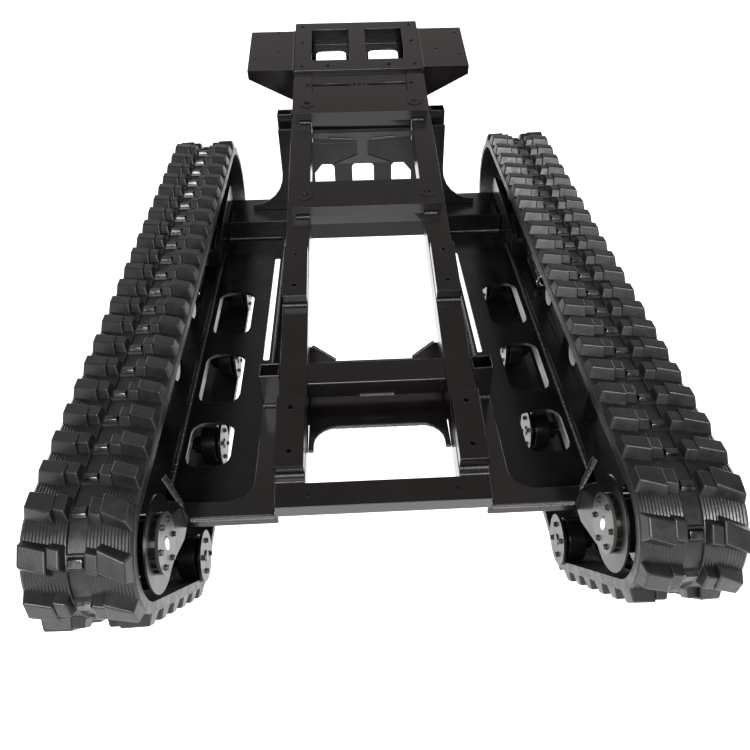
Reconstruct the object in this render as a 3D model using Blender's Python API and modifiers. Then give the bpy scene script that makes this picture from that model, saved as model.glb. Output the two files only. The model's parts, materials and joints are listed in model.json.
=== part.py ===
"""Tracked robot chassis: a sloping ladder deck on a level lower frame between two rubber-track units.

Metres, +Z up, +X to the right, +Y from the drive end (sprockets) to the head end.
The origin is on the ground, under the middle of the chassis.
"""

import math

import bmesh
import bpy
from mathutils import Matrix, Vector

# ---- driving dimensions -------------------------------------------------------------------
GAP = 0.0003  # clearance left between neighbouring solids

TRACK_X = 0.496  # centre plane of each rubber track
TRACK_HALF = 0.090  # half of the 180 mm belt width
LINK_PITCH = 0.072  # nominal spacing of the belt's metal cores
SPROCKET_TEETH = 9
PITCH_TO_INNER = 0.005  # pitch line down to the belt's inner face
PITCH_TO_CARCASS = 0.015  # pitch line up to the carcass between the lugs
PITCH_TO_LUG = 0.037  # pitch line up to the lug tops
GROOVE_HALF = 0.020  # half width of the groove that the teeth run in
GROOVE_DEPTH = 0.0145  # how far the groove goes into the belt from its inner face

SPROCKET_Y, SPROCKET_Z = -0.930, 0.405
SPROCKET_R = SPROCKET_TEETH * LINK_PITCH / (2 * math.pi)  # pitch radius
IDLER_Y, IDLER_Z, IDLER_R = 0.493, 0.380, 0.128
ROLLER_R = 0.050
ROUND_GAP = 0.001  # a wheel's clearance from the flats of the belt's bends
ROLLER_Z = PITCH_TO_LUG + PITCH_TO_INNER + ROLLER_R
BOTTOM_ROLLER_YS = (-0.727, -0.369, -0.011, 0.347)
CARRIER_R = 0.030
CARRIER_YS = (-0.522, -0.292, -0.052)
CARRIER_Z = SPROCKET_Z + SPROCKET_R - PITCH_TO_INNER - CARRIER_R - 0.0005

FRAME_TOP = 0.340  # top of the level lower frame
FLOOR_Z = 0.280  # top of the floor plates
PLATE_T = 0.008
FRAME_BEAM_HALF = 0.0497  # half width of each track beam
BEAM_IN = TRACK_X - FRAME_BEAM_HALF  # inner side of each track beam
BEAM_LOW, BEAM_HIGH = 0.200, 0.300
NOSE_IN = TRACK_X - 0.0557  # inner face of the plates beside each idler
NOSE_T, NOSE_Y0 = 0.010, 0.290
NEAR_Y = -0.823  # drive-end edge of the lower frame
FAR_BEAM_Y0, FAR_BEAM_Y1 = 0.378, 0.536

DECK_Y, DECK_Z = -0.824, 0.360  # top edge where the sloping deck begins
DECK_SLOPE = math.atan(0.2)
DECK_LENGTH = 1.9175
RAIL_OUT, RAIL_IN, RAIL_H = 0.212, 0.152, 0.060
TUBE_T = 0.004
PAD_H, PAD_LENGTH = 0.030, 0.175
HEAD_U0, HEAD_TOP, HEAD_DEPTH = 1.597, 0.010, 0.080

BLACK = (0.020, 0.018, 0.020)


# ---- scene and materials ------------------------------------------------------------------
def clear_scene():
    for obj in list(bpy.data.objects):
        bpy.data.objects.remove(obj, do_unlink=True)


clear_scene()
PARTS = bpy.data.collections.new("tracked_chassis")
bpy.context.scene.collection.children.link(PARTS)


def material(name, colour, roughness, metallic=0.0):
    made = bpy.data.materials.new(name)
    made.use_nodes = True
    shader = made.node_tree.nodes["Principled BSDF"]
    shader.inputs["Base Color"].default_value = (*colour, 1.0)
    shader.inputs["Roughness"].default_value = roughness
    shader.inputs["Metallic"].default_value = metallic
    return made


PAINT = material("black_paint", BLACK, 0.25)
RUBBER = material("track_rubber", (0.030, 0.030, 0.032), 0.75)
STEEL = material("machined_steel", (0.55, 0.55, 0.56), 0.35, 1.0)
SMOOTH_BELOW = math.radians(35)  # faces that meet at less than this are shaded as one surface


# ---- shape helpers ------------------------------------------------------------------------
# Each plane names where an outline's first and second coordinates go; it is extruded along the third.
PLANES = {
    "XY": Matrix(((1, 0, 0), (0, 1, 0), (0, 0, 1))),
    "YZ": Matrix(((0, 0, 1), (1, 0, 0), (0, 1, 0))),
    "XZ": Matrix(((1, 0, 0), (0, 0, -1), (0, 1, 0))),
}


def solid_mesh(obj):
    """The evaluated mesh of obj as its own closed mesh, with its normals pointing out."""
    bpy.context.view_layer.update()
    graph = bpy.context.evaluated_depsgraph_get()
    mesh = bpy.data.meshes.new_from_object(obj.evaluated_get(graph))
    shape = bmesh.new()
    shape.from_mesh(mesh)
    bmesh.ops.remove_doubles(shape, verts=shape.verts, dist=1e-6)
    bmesh.ops.recalc_face_normals(shape, faces=shape.faces)
    shape.to_mesh(mesh)
    shape.free()
    return mesh


def as_mesh_object(source, look):
    """Replaces a curve, or an object with modifiers, by a plain mesh object of the same shape and place."""
    name, place, parent = source.name, source.matrix_world.copy(), source.parent
    mesh = solid_mesh(source)
    bpy.data.objects.remove(source, do_unlink=True)
    made = bpy.data.objects.new(name, mesh)
    made.data.materials.clear()
    made.data.materials.append(look)
    PARTS.objects.link(made)
    made.parent = parent
    made.matrix_world = place
    return made


def outline_solid(name, loops, thickness, plane="XY", centre=(0, 0, 0), look=PAINT):
    """A flat outline made solid, half the thickness each way. Its first loop is outside, the others holes."""
    curve = bpy.data.curves.new(name, "CURVE")
    curve.dimensions = "2D"
    curve.fill_mode = "BOTH"
    curve.extrude = thickness / 2
    for loop in loops:
        spline = curve.splines.new("POLY")
        spline.points.add(len(loop) - 1)
        for point, (a, b) in zip(spline.points, loop):
            point.co = (a, b, 0, 1)
        spline.use_cyclic_u = True
    obj = bpy.data.objects.new(name, curve)
    PARTS.objects.link(obj)
    obj.matrix_world = Matrix.Translation(centre) @ PLANES[plane].to_4x4()
    return as_mesh_object(obj, look)


def turned(name, profile, centre, look=PAINT, segments=16):
    """A solid turned about X. The profile is a chain of (x, radius) that starts and ends on the axis."""
    mesh = bpy.data.meshes.new(name)
    mesh.from_pydata([(x, 0, r) for x, r in profile], [(i, i + 1) for i in range(len(profile) - 1)], [])
    obj = bpy.data.objects.new(name, mesh)
    PARTS.objects.link(obj)
    obj.matrix_world = Matrix.Translation(centre)
    screw = obj.modifiers.new("turn", "SCREW")
    screw.axis = "X"
    screw.steps = screw.render_steps = segments
    screw.use_merge_vertices = True
    screw.merge_threshold = 0.00005
    return as_mesh_object(obj, look)


def box(name, low, high, look=PAINT):
    size = Vector(high) - Vector(low)
    x, y = size.x / 2, size.y / 2
    centre = (Vector(high) + Vector(low)) / 2
    return outline_solid(name, [[(-x, -y), (x, -y), (x, y), (-x, y)]], size.z, "XY", centre, look)


def combine(target, tool, operation):
    """Joins tool to target, or cuts it away, with an exact Boolean."""
    boolean = target.modifiers.new(operation.lower(), "BOOLEAN")
    boolean.operation = operation
    boolean.object = tool
    look = target.data.materials[0]
    made = as_mesh_object(target, look)
    bpy.data.objects.remove(tool, do_unlink=True)
    return made


def union(target, *tools):
    for tool in tools:
        target = combine(target, tool, "UNION")
    return target


def drill(target, points, radius, depth, plane="XY", sides=10):
    """Round holes through target, centred on points and running along the plane's normal."""
    for point in points:
        tool = outline_solid("drill", [circle(0, 0, radius, sides)], depth, plane, point)
        target = combine(target, tool, "DIFFERENCE")
    return target


# ---- outline helpers ----------------------------------------------------------------------
def arc(a, b, radius, start, end, steps):
    """Points on an arc about (a, b), from start to end in degrees."""
    angles = [math.radians(start + (end - start) * i / steps) for i in range(steps + 1)]
    return [(a + radius * math.cos(t), b + radius * math.sin(t)) for t in angles]


def circle(a, b, radius, sides):
    return arc(a, b, radius, 0, 360 * (sides - 1) / sides, sides - 1)


def rectangle(a0, b0, a1, b1):
    return [(a0, b0), (a1, b0), (a1, b1), (a0, b1)]


def rounded(a0, b0, a1, b1, radius, steps=3):
    corners = ((a1, b1, 0), (a0, b1, 90), (a0, b0, 180), (a1, b0, 270))
    points = []
    for a, b, start in corners:
        inner_a = a - math.copysign(radius, a - (a0 + a1) / 2)
        inner_b = b - math.copysign(radius, b - (b0 + b1) / 2)
        points += arc(inner_a, inner_b, radius, start, start + 90, steps)
    return points


def mirrored(points, side):
    """The outline for that side: as given for +1, reflected in the first coordinate for -1."""
    return [(side * a, b) for a, b in points]


def channel(u0, u1, top, depth, wall):
    """The section of a channel that opens downwards, in (u, w)."""
    return [
        (u0, top), (u0, top - depth), (u0 + wall, top - depth), (u0 + wall, top - wall),
        (u1 - wall, top - wall), (u1 - wall, top - depth), (u1, top - depth), (u1, top),
    ]


# ---- the sloping deck, in its own frame: X across, Y along the slope, Z normal to it -------------
deck = bpy.data.objects.new("deck_frame", None)
PARTS.objects.link(deck)
deck.location = (0, DECK_Y, DECK_Z)
deck.rotation_euler = (DECK_SLOPE, 0, 0)

SIDES = (("left", -1), ("right", 1))
NEAR_CROSS_DEPTH, NEAR_CROSS_HEIGHT = 0.053, 0.036
CENTRE_U0, CENTRE_U1, CENTRE_H = 0.300, 0.360, 0.050
RAISED_HALF = 0.197  # half length of the two raised cross members
RAISED_WEB_DEPTH = 0.026  # how far their webs reach below the rails' top
MIDDLE_U, FAR_U, RAISED_WIDTH, RAISED_H = 0.866, 1.310, 0.110, 0.030
DRIVE_PAD_U, HEAD_PAD_U = 0.073, 0.541
DRIVE_POST_Y, HEAD_POST_Y, POST_SIZE = -0.508, 0.500, 0.045


def on_deck(obj):
    obj.parent = deck
    return obj


def rail(name, side):
    mid = side * (RAIL_OUT + RAIL_IN) / 2
    half = (RAIL_OUT - RAIL_IN) / 2
    start = NEAR_CROSS_DEPTH + GAP
    end = HEAD_U0 - GAP
    loops = [
        rectangle(mid - half, -RAIL_H, mid + half, 0),
        rectangle(mid - half + TUBE_T, -RAIL_H + TUBE_T, mid + half - TUBE_T, -TUBE_T),
    ]
    return on_deck(outline_solid(name, loops, end - start, "XZ", (0, (start + end) / 2, 0)))


def drive_end_cross_member():
    section = channel(0, NEAR_CROSS_DEPTH, 0, NEAR_CROSS_HEIGHT, 0.005)
    beam = outline_solid("drive_end_cross_member", [section], 2 * RAIL_OUT - 0.002, "YZ")
    holes = [(s * 0.145, 0.027, 0) for _, s in SIDES]
    return on_deck(drill(beam, holes, 0.0045, 0.02))


def centre_cross_member():
    section = channel(CENTRE_U0, CENTRE_U1, 0, CENTRE_H, 0.005)
    return on_deck(outline_solid("centre_cross_member", [section], 2 * (RAIL_IN - GAP), "YZ"))


def raised_cross_member(name, u):
    """A deep channel between the rails, with a shallow saddle over each of them."""
    section = channel(u, u + RAISED_WIDTH, RAISED_H, RAISED_H - GAP, 0.005)
    bridge = outline_solid(name, [section], 2 * RAISED_HALF, "YZ")
    for edge in (u + 0.0005, u + RAISED_WIDTH - 0.0045):
        low = (-RAIL_IN + GAP, edge, -RAISED_WEB_DEPTH)
        web = box("web", low, (RAIL_IN - GAP, edge + 0.004, RAISED_H - 0.002))
        bridge = union(bridge, web)
    holes = [(s * 0.163, u + 0.05, RAISED_H) for _, s in SIDES]
    return on_deck(drill(bridge, holes, 0.0045, 0.02))


def slotted_plate():
    u0, u1, half = FAR_U + RAISED_WIDTH + GAP, HEAD_U0 - GAP, RAIL_IN - GAP
    slots = []
    for _, side in SIDES:
        near, far = 0.030, 0.142
        slot = arc(far, 1.525, 0.008, -90, 90, 4) + arc(near, 1.525, 0.008, 90, 270, 4)
        slots.append(mirrored(slot, side))
    loops = [rectangle(-half, u0, half, u1), *slots]
    return on_deck(outline_solid("slotted_plate", loops, 0.003, "XY", (0, 0, -0.0025)))


def mounting_pad(name, side, u):
    x0, x1 = RAIL_IN + 0.001, RAIL_OUT - 0.001
    mid = side * (x0 + x1) / 2
    half = (x1 - x0) / 2
    holes = [circle(mid, u + d, 0.0055, 10) for d in (0.036, 0.144)]
    loops = [rectangle(mid - half, u, mid + half, u + PAD_LENGTH), *holes]
    return on_deck(outline_solid(name, loops, PAD_H - GAP, "XY", (0, 0, GAP + (PAD_H - GAP) / 2)))


def stake_post(name, side, y):
    """An open-topped square tube beside a rail, standing upright on the lower frame."""
    x0, top = RAIL_OUT + GAP, DECK_Z + math.tan(DECK_SLOPE) * (y + POST_SIZE / 2 - DECK_Y)
    outer = rectangle(x0, y, x0 + POST_SIZE, y + POST_SIZE)
    inner = rectangle(x0 + TUBE_T, y + TUBE_T, x0 + POST_SIZE - TUBE_T, y + POST_SIZE - TUBE_T)
    low = FRAME_TOP + GAP
    loops = [mirrored(outer, side), mirrored(inner, side)]
    return outline_solid(name, loops, top - low, "XY", (0, 0, (top + low) / 2))


def head_box():
    """The hollow box at the head end, with two windows right through it."""
    wall = 0.006
    low, high = HEAD_TOP - HEAD_DEPTH, HEAD_TOP
    shell = box("head_box", (-RAIL_OUT, HEAD_U0, low), (RAIL_OUT, DECK_LENGTH, high))
    inside = box("inside", (-RAIL_OUT + wall, HEAD_U0 + wall, low + wall),
                 (RAIL_OUT - wall, DECK_LENGTH - wall, high - wall))
    for _, side in SIDES:
        window = rounded(0.028, 1.662, 0.154, 1.872, 0.004, 1)
        cutter = outline_solid("window", [mirrored(window, side)], 0.04, "XY", (0, 0, high))
        shell = combine(shell, cutter, "DIFFERENCE")
    shell = combine(shell, inside, "DIFFERENCE")
    for _, side in SIDES:
        window = rounded(0.040, 1.650, 0.144, 1.872, 0.020, 3)
        cutter = outline_solid("window", [mirrored(window, side)], 0.04, "XY", (0, 0, low))
        shell = combine(shell, cutter, "DIFFERENCE")
    return on_deck(shell)


def wing(name, side):
    """A side shelf of the head: a top plate with tapered flanges bent down at both ends."""
    x0, x1, u0, u1 = RAIL_OUT + GAP, 0.362, HEAD_U0 + 0.004, 1.862
    top, t = HEAD_TOP, 0.006
    holes = [(0.338, 1.675), (0.338, 1.823), (0.267, 1.716), (0.267, 1.852)]
    loops = [rectangle(x0, u0, x1, u1)] + [circle(a, b, 0.005, 8) for a, b in holes]
    plate = outline_solid(name, [mirrored(loop, side) for loop in loops], t, "XY", (0, 0, top - t / 2))
    taper = [(x0, top - 0.001), (x0, top - 0.110), (x1, top - 0.028), (x1, top - 0.001)]
    for u in (u0 + t / 2, u1 - t / 2):
        plate = union(plate, outline_solid("flange", [mirrored(taper, side)], t, "XZ", (0, u, 0)))
    return on_deck(plate)


def build_deck():
    drive_end_cross_member()
    centre_cross_member()
    raised_cross_member("middle_cross_member", MIDDLE_U)
    raised_cross_member("head_end_cross_member", FAR_U)
    slotted_plate()
    head_box()
    for name, side in SIDES:
        rail("deck_rail_" + name, side)
        wing("head_wing_" + name, side)
        mounting_pad("drive_end_pad_" + name, side, DRIVE_PAD_U)
        mounting_pad("head_end_pad_" + name, side, HEAD_PAD_U)
        stake_post("drive_end_stake_post_" + name, side, DRIVE_POST_Y)
        stake_post("head_end_stake_post_" + name, side, HEAD_POST_Y)


# ---- the level lower frame ----------------------------------------------------------------
ARM_DEPTH = 0.040
ARM_Y = NEAR_Y + ARM_DEPTH - PLATE_T
FLANGE_IN = RAIL_OUT + GAP
WEB_X = 0.250  # inner face of the side webs
FLANGE_END = -0.440
FLANGE_T = PLATE_T


def side_arm(name, side):
    """The upright web under the flange's strip, from the deck to the track beam, with a corner brace."""
    top = FRAME_TOP - FLANGE_T - GAP
    low = FLOOR_Z - PLATE_T
    x0, x1 = FLANGE_IN, BEAM_IN - GAP
    ends = sorted((side * x0, side * x1))
    arm = box(name, (ends[0], ARM_Y, low), (ends[1], NEAR_Y + ARM_DEPTH, top))
    brace = [(0.388, ARM_Y + 0.004), (0.396, ARM_Y + 0.004), (BEAM_IN - GAP, NEAR_Y + 0.112),
             (BEAM_IN - GAP, NEAR_Y + 0.130)]
    depth = top - FLOOR_Z - GAP
    plate = outline_solid("brace", [mirrored(brace, side)], depth, "XY", (0, 0, top - depth / 2))
    return union(arm, plate)


def top_flange(name, side):
    """The L-shaped top plate beside the deck's drive end, with a large inner fillet."""
    y0, inner, radius = NEAR_Y, WEB_X + PLATE_T, 0.050
    fillet = arc(inner + radius, y0 + ARM_DEPTH + radius, radius, 270, 180, 5)
    end = arc(inner - 0.016, FLANGE_END - 0.016, 0.016, 0, 90, 3)
    outline = [(FLANGE_IN, y0), (0.374, y0), (0.395, y0 + 0.034), (0.395, y0 + ARM_DEPTH)]
    outline += fillet + end + [(FLANGE_IN, FLANGE_END)]
    return outline_solid(name, [mirrored(outline, side)], FLANGE_T, "XY", (0, 0, FRAME_TOP - FLANGE_T / 2))


def side_web(name, side):
    """The upright wall under the flange's inner edge, running on to the far beam."""
    low, high = FLOOR_Z + GAP, FRAME_TOP - FLANGE_T - GAP
    y0, y1 = NEAR_Y + ARM_DEPTH + GAP, FAR_BEAM_Y0 - GAP
    ends = sorted((side * WEB_X, side * (WEB_X + PLATE_T)))
    return box(name, (ends[0], y0, low), (ends[1], y1, high))


def floor_plate(name, side):
    """The floor between the web and the track beam, with three rounded windows and a narrow slot."""
    x0, x1 = WEB_X - 0.020, BEAM_IN - GAP
    y0, y1 = NEAR_Y + ARM_DEPTH + GAP, FAR_BEAM_Y0 - GAP
    notch_x, notch_y = NOSE_IN - GAP, NOSE_Y0 - GAP
    loops = [[(x0, y0), (x1, y0), (x1, notch_y), (notch_x, notch_y), (notch_x, y1), (x0, y1)]]
    for low, high in ((-0.629, -0.492), (-0.420, -0.232), (-0.144, 0.058)):
        loops.append(rounded(0.330, low, 0.428, high, 0.028))
    loops.append(rounded(0.266, -0.262, 0.284, 0.256, 0.006, 2))
    centre = (0, 0, FLOOR_Z - PLATE_T / 2)
    return outline_solid(name, [mirrored(loop, side) for loop in loops], PLATE_T, "XY", centre)


def far_beam():
    """The box beam across the head end, joining both track beams."""
    low, high = FLOOR_Z - PLATE_T, FRAME_TOP
    wall = 0.006
    loops = [
        rectangle(FAR_BEAM_Y0, low, FAR_BEAM_Y1, high),
        rectangle(FAR_BEAM_Y0 + wall, low + wall, FAR_BEAM_Y1 - wall, high - wall),
    ]
    return outline_solid("far_beam", loops, 2 * (NOSE_IN - GAP), "YZ")


def head_upright():
    """The windowed plate across the far beam that carries the rails' head end, flared at its foot."""
    y, t = 0.462, 0.010
    rail_bottom = DECK_Z + math.tan(DECK_SLOPE) * (y - t / 2 - DECK_Y) - RAIL_H / math.cos(DECK_SLOPE) - GAP
    low, ear, ear_top, flare_r = FRAME_TOP + GAP, RAIL_OUT + POST_SIZE - 0.002, 0.598, 0.105
    flare = arc(ear + flare_r, low + 0.016 + flare_r, flare_r, 270, 180, 6)
    inner = RAIL_OUT + GAP
    right = [(ear + flare_r, low), *flare, (ear, ear_top), (inner, ear_top), (inner, rail_bottom)]
    outline = right + [(-a, b) for a, b in reversed(right)]
    centre_window = rounded(-0.034, low + 0.040, 0.034, low + 0.146, 0.010, 2)
    side_window = [(0.090, low + 0.040), (0.152, low + 0.040), (0.152, low + 0.118),
                   (0.128, low + 0.146), (0.098, low + 0.146), (0.090, low + 0.138)]
    loops = [outline, centre_window] + [mirrored(side_window, side) for _, side in SIDES]
    return outline_solid("head_upright", loops, t, "XZ", (0, y, 0))


def drive_bracket(name, side):
    """The plate that the motor's flange bolts to: a collar that reaches back to the side arm."""
    face_y = ARM_Y - GAP
    disc = arc(SPROCKET_Y, SPROCKET_Z, 0.075, 40, 250, 12)
    outline = disc + [(face_y - 0.030, 0.272), (face_y, 0.272), (face_y, 0.352)]
    loops = [outline, circle(SPROCKET_Y, SPROCKET_Z, MOTOR_R + 0.0015, 20)]
    x0 = MOTOR_X + FLANGE_THICK + GAP
    x1 = TRACK_X - TRACK_HALF - 0.0007
    return outline_solid(name, loops, x1 - x0, "YZ", (side * (x0 + x1) / 2, 0, 0))


def bridge_plate():
    """The level plate under the rails that joins the top flanges, with filleted and chamfered corners."""
    inner, outer, radius = RAIL_IN - GAP, FLANGE_IN - GAP, 0.050
    near, under_rail, far, corner = -0.5835, -0.570, -0.351, -0.291
    end = near - radius - 0.022
    right = [(0.140, end), (inner, end), (inner, under_rail), (outer, under_rail),
             (outer, corner), (inner, corner), (0.093, far)]
    fillet = arc(0.140 - radius, near - radius, radius, 90, 0, 5)
    half = fillet + right
    outline = half + [(-a, b) for a, b in reversed(half)]
    return outline_solid("bridge_plate", [outline], PLATE_T, "XY", (0, 0, FRAME_TOP - PLATE_T / 2))


def build_lower_frame():
    far_beam()
    bridge_plate()
    head_upright()
    for name, side in SIDES:
        side_arm("side_arm_" + name, side)
        top_flange("top_flange_" + name, side)
        side_web("side_web_" + name, side)
        floor_plate("floor_plate_" + name, side)
        drive_bracket("drive_bracket_" + name, side)


# ---- the track path: tangent lines between four circles, walked clockwise seen from +X -----------
def track_path(offset):
    """Segments of the belt's path at that offset from the pitch line: lines and arcs in (Y, Z)."""
    ground = ROLLER_R + PITCH_TO_INNER
    wheels = [
        (SPROCKET_Y, SPROCKET_Z, SPROCKET_R), (IDLER_Y, IDLER_Z, IDLER_R),
        (BOTTOM_ROLLER_YS[-1], ROLLER_Z, ground), (BOTTOM_ROLLER_YS[0], ROLLER_Z, ground),
    ]
    normals = []
    for (ya, za, ra), (yb, zb, rb) in zip(wheels, wheels[1:] + wheels[:1]):
        along = Vector((yb - ya, zb - za))
        a = (ra - rb) / along.length
        along.normalize()
        normals.append(a * along + math.sqrt(1 - a * a) * Vector((-along.y, along.x)))
    segments = []
    for i, (y, z, r) in enumerate(wheels):
        before, after = normals[i - 1], normals[i]
        start = math.atan2(before.y, before.x)
        turn = (start - math.atan2(after.y, after.x)) % (2 * math.pi)
        segments.append(("arc", Vector((y, z)), r + offset, start, turn, r))
        y2, z2, r2 = wheels[(i + 1) % 4]
        first = Vector((y, z)) + after * (r + offset)
        last = Vector((y2, z2)) + after * (r2 + offset)
        segments.append(("line", first, last, after, (last - first).length, None))
    return segments


def path_length():
    return sum(s[4] * s[5] if s[0] == "arc" else s[4] for s in track_path(0))


def path_point(distance, offset):
    """The point at that distance along the pitch line, moved out by offset."""
    distance %= path_length()
    for kind, a, b, c, d, r in track_path(0):
        length = d * r if kind == "arc" else d
        if distance > length:
            distance -= length
            continue
        if kind == "line":
            point = a + (b - a) * (distance / length) + c * offset
        else:
            angle = c - distance / r
            point = a + Vector((math.cos(angle), math.sin(angle))) * (r + offset)
        return (point.x, point.y)
    return path_point(0, offset)


def bend_distances(step=math.radians(15)):
    """Distances along the pitch line where a smooth loop needs its points: only where it bends."""
    distances, walked = [], 0
    for kind, _, _, _, d, r in track_path(0):
        length = d * r if kind == "arc" else d
        if kind == "arc":
            count = max(2, math.ceil(d / step))
            distances += [walked + length * i / count for i in range(count + 1)]
        walked += length
    return distances


def nearest_end():
    """Distance along the pitch line of the belt's drive-end extreme."""
    first = track_path(0)[0]
    return ((first[3] - math.pi) % (2 * math.pi)) * first[5]


LINKS = round(path_length() / LINK_PITCH)
LUG_BASE, LUG_TOP = 0.0170, 0.0115  # half lengths of a lug along the belt


def lug_stations():
    """(distance, offset) of every corner of the belt's outside, in order along the path."""
    length = path_length()
    corners = ((-LUG_BASE, PITCH_TO_CARCASS), (-LUG_TOP, PITCH_TO_LUG),
               (LUG_TOP, PITCH_TO_LUG), (LUG_BASE, PITCH_TO_CARCASS))
    stations = []
    for i in range(LINKS):
        middle = nearest_end() + i * length / LINKS
        stations += [((middle + reach) % length, offset) for reach, offset in corners]
    return sorted(stations)


def ring(shape, x, stations):
    """A closed ring of points in the plane at x, as (distance, vertex)."""
    made = []
    for distance, offset in stations:
        y, z = path_point(distance, offset)
        made.append((distance, shape.verts.new((x, y, z))))
    return made


def stitch(shape, first, second):
    """Triangles that join two rings, always stepping on along the one that is behind."""
    length = path_length()
    i = j = 0
    while i < len(first) or j < len(second):
        next_i = first[(i + 1) % len(first)][0] + (length if i + 1 >= len(first) else 0)
        next_j = second[(j + 1) % len(second)][0] + (length if j + 1 >= len(second) else 0)
        a, b = first[i % len(first)][1], second[j % len(second)][1]
        if j >= len(second) or (i < len(first) and next_i <= next_j):
            i += 1
            shape.faces.new((a, b, first[i % len(first)][1]))
        else:
            j += 1
            shape.faces.new((a, b, second[j % len(second)][1]))


def rubber_track(name, side):
    """The belt as one ring: carcass, a lug on every link and a groove inside for the teeth."""
    shape = bmesh.new()
    outside = lug_stations()
    inside = [(d, -PITCH_TO_INNER) for d in bend_distances()]
    groove = [(d, GROOVE_DEPTH - PITCH_TO_INNER) for d in bend_distances()]
    feet = {d for d, offset in outside if offset == PITCH_TO_CARCASS}
    bends = {d for d, _ in inside if min(abs(d - foot) for foot in feet) > 0.001}
    edge = [(d, -PITCH_TO_INNER) for d in sorted(feet | bends)]
    section = ((-TRACK_HALF, outside), (TRACK_HALF, outside), (TRACK_HALF, edge), (GROOVE_HALF, inside),
               (GROOVE_HALF, groove), (-GROOVE_HALF, groove), (-GROOVE_HALF, inside), (-TRACK_HALF, edge))
    rings = [ring(shape, x, stations) for x, stations in section]
    for first, second in zip(rings, rings[1:] + rings[:1]):
        stitch(shape, first, second)
    bmesh.ops.recalc_face_normals(shape, faces=shape.faces)
    mesh = bpy.data.meshes.new(name)
    shape.to_mesh(mesh)
    shape.free()
    mesh.materials.append(RUBBER)
    obj = bpy.data.objects.new(name, mesh)
    PARTS.objects.link(obj)
    obj.location = (side * TRACK_X, 0, 0)
    return obj


# ---- running gear -------------------------------------------------------------------------
WHEEL_IN, WHEEL_OUT = 0.045, 0.085  # the two treads of a bottom roller, either side of its middle
AXLE_R = 0.012
DISC_R = 0.058
PLATE_HALF = 0.008  # half thickness of the track frame's middle plate
BEAM_WALL = 0.006


def bottom_roller(name, side, y):
    """Two treads on an axle, with an end disc just inboard of the belt's edge."""
    tread = ROLLER_R - ROUND_GAP
    half = [(WHEEL_OUT, 0.040), (WHEEL_OUT - 0.004, tread), (WHEEL_IN, tread), (WHEEL_IN, 0.026),
            (0.022, 0.022), (0.022, AXLE_R)]
    disc = [(-0.0975, 0), (-0.0975, DISC_R), (-0.0907, DISC_R), (-0.0907, 0.030), (-WHEEL_OUT, 0.030)]
    profile = disc + [(-x, r) for x, r in half] + list(reversed(half)) + [(WHEEL_OUT, 0)]
    return turned(name, [(side * x, r) for x, r in profile], (side * TRACK_X, y, ROLLER_Z), segments=16)


def carrier_roller(name, side, y):
    half = [(0.074, 0), (0.074, CARRIER_R), (0.045, CARRIER_R), (0.045, 0.018),
            (0.022, 0.018), (0.022, AXLE_R)]
    profile = half + [(-x, r) for x, r in reversed(half)]
    return turned(name, profile, (side * TRACK_X, y, CARRIER_Z), segments=12)


DRUM_HALF, DRUM_RIM_R = 0.046, 0.088
MOTOR_X, FLANGE_THICK = 0.385, 0.012
MOTOR_FLANGE_R, MOTOR_R = 0.088, 0.056


def sprocket(name, side):
    """Nine teeth on a plate, between the two rims of a drum."""
    root, tip = 0.086, SPROCKET_R + 0.007
    outline = []
    for i in range(SPROCKET_TEETH):
        middle = 180 + i * 360 / SPROCKET_TEETH
        for turn, radius in ((-11, root), (-5, tip), (5, tip), (11, root)):
            angle = math.radians(middle + turn)
            outline.append((radius * math.cos(angle), radius * math.sin(angle)))
    centre = (side * TRACK_X, SPROCKET_Y, SPROCKET_Z)
    wheel = outline_solid(name, [outline], 0.030, "YZ", centre)
    step = DRUM_HALF - 0.010
    half = [(DRUM_HALF, 0), (DRUM_HALF, DRUM_RIM_R), (step, DRUM_RIM_R), (step, 0.070)]
    drum = turned("drum", half + [(-x, r) for x, r in reversed(half)], centre, segments=24)
    return union(wheel, drum)


def drive_motor(name, side):
    """The motor and gearbox: a flange inboard of the belt and a body that reaches out to the sprocket."""
    length = TRACK_X - DRUM_HALF - 0.001 - MOTOR_X
    profile = [(-0.003, 0), (-0.003, 0.016), (0, 0.016), (0, MOTOR_FLANGE_R), (FLANGE_THICK, MOTOR_FLANGE_R),
               (FLANGE_THICK, MOTOR_R), (length, MOTOR_R), (length, 0)]
    centre = (side * MOTOR_X, SPROCKET_Y, SPROCKET_Z)
    return turned(name, [(side * x, r) for x, r in profile], centre, segments=24)


YOKE_IN, YOKE_OUT = 0.052, 0.064
CYLINDER_R = 0.022
CYLINDER_Z = BEAM_HIGH + GAP + CYLINDER_R


def idler(name, side):
    rim = IDLER_R - PITCH_TO_INNER - 1.6 * ROUND_GAP
    half = [(0.050, 0), (0.050, 0.020), (0.044, 0.024), (0.044, rim), (0.022, rim), (0.022, 0.030)]
    profile = half + [(-x, r) for x, r in reversed(half)]
    return turned(name, profile, (side * TRACK_X, IDLER_Y, IDLER_Z), segments=24)


def idler_yoke(name, side):
    """The fork that holds the idler and slides on the track beam."""
    y0, y1 = 0.168, 0.278
    x = side * TRACK_X
    block = box(name, (x - YOKE_OUT + 0.004, y0 + 0.004, BEAM_HIGH + GAP), (x + YOKE_OUT - 0.004, y1, 0.362))
    outline = [(y0, 0.330), (y1, 0.350), (IDLER_Y, 0.352)] + arc(IDLER_Y, IDLER_Z, 0.028, -60, 90, 4)
    outline += [(IDLER_Y, 0.408), (y0, 0.380)]
    for s in (-1, 1):
        centre = (x + s * (YOKE_IN + YOKE_OUT) / 2, 0, 0)
        block = union(block, outline_solid("arm", [outline], YOKE_OUT - YOKE_IN, "YZ", centre))
    rod = outline_solid("rod", [circle(x, CYLINDER_Z, 0.009, 10)], 0.090, "XZ", (0, y0 - 0.040, 0))
    return union(block, rod)


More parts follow.
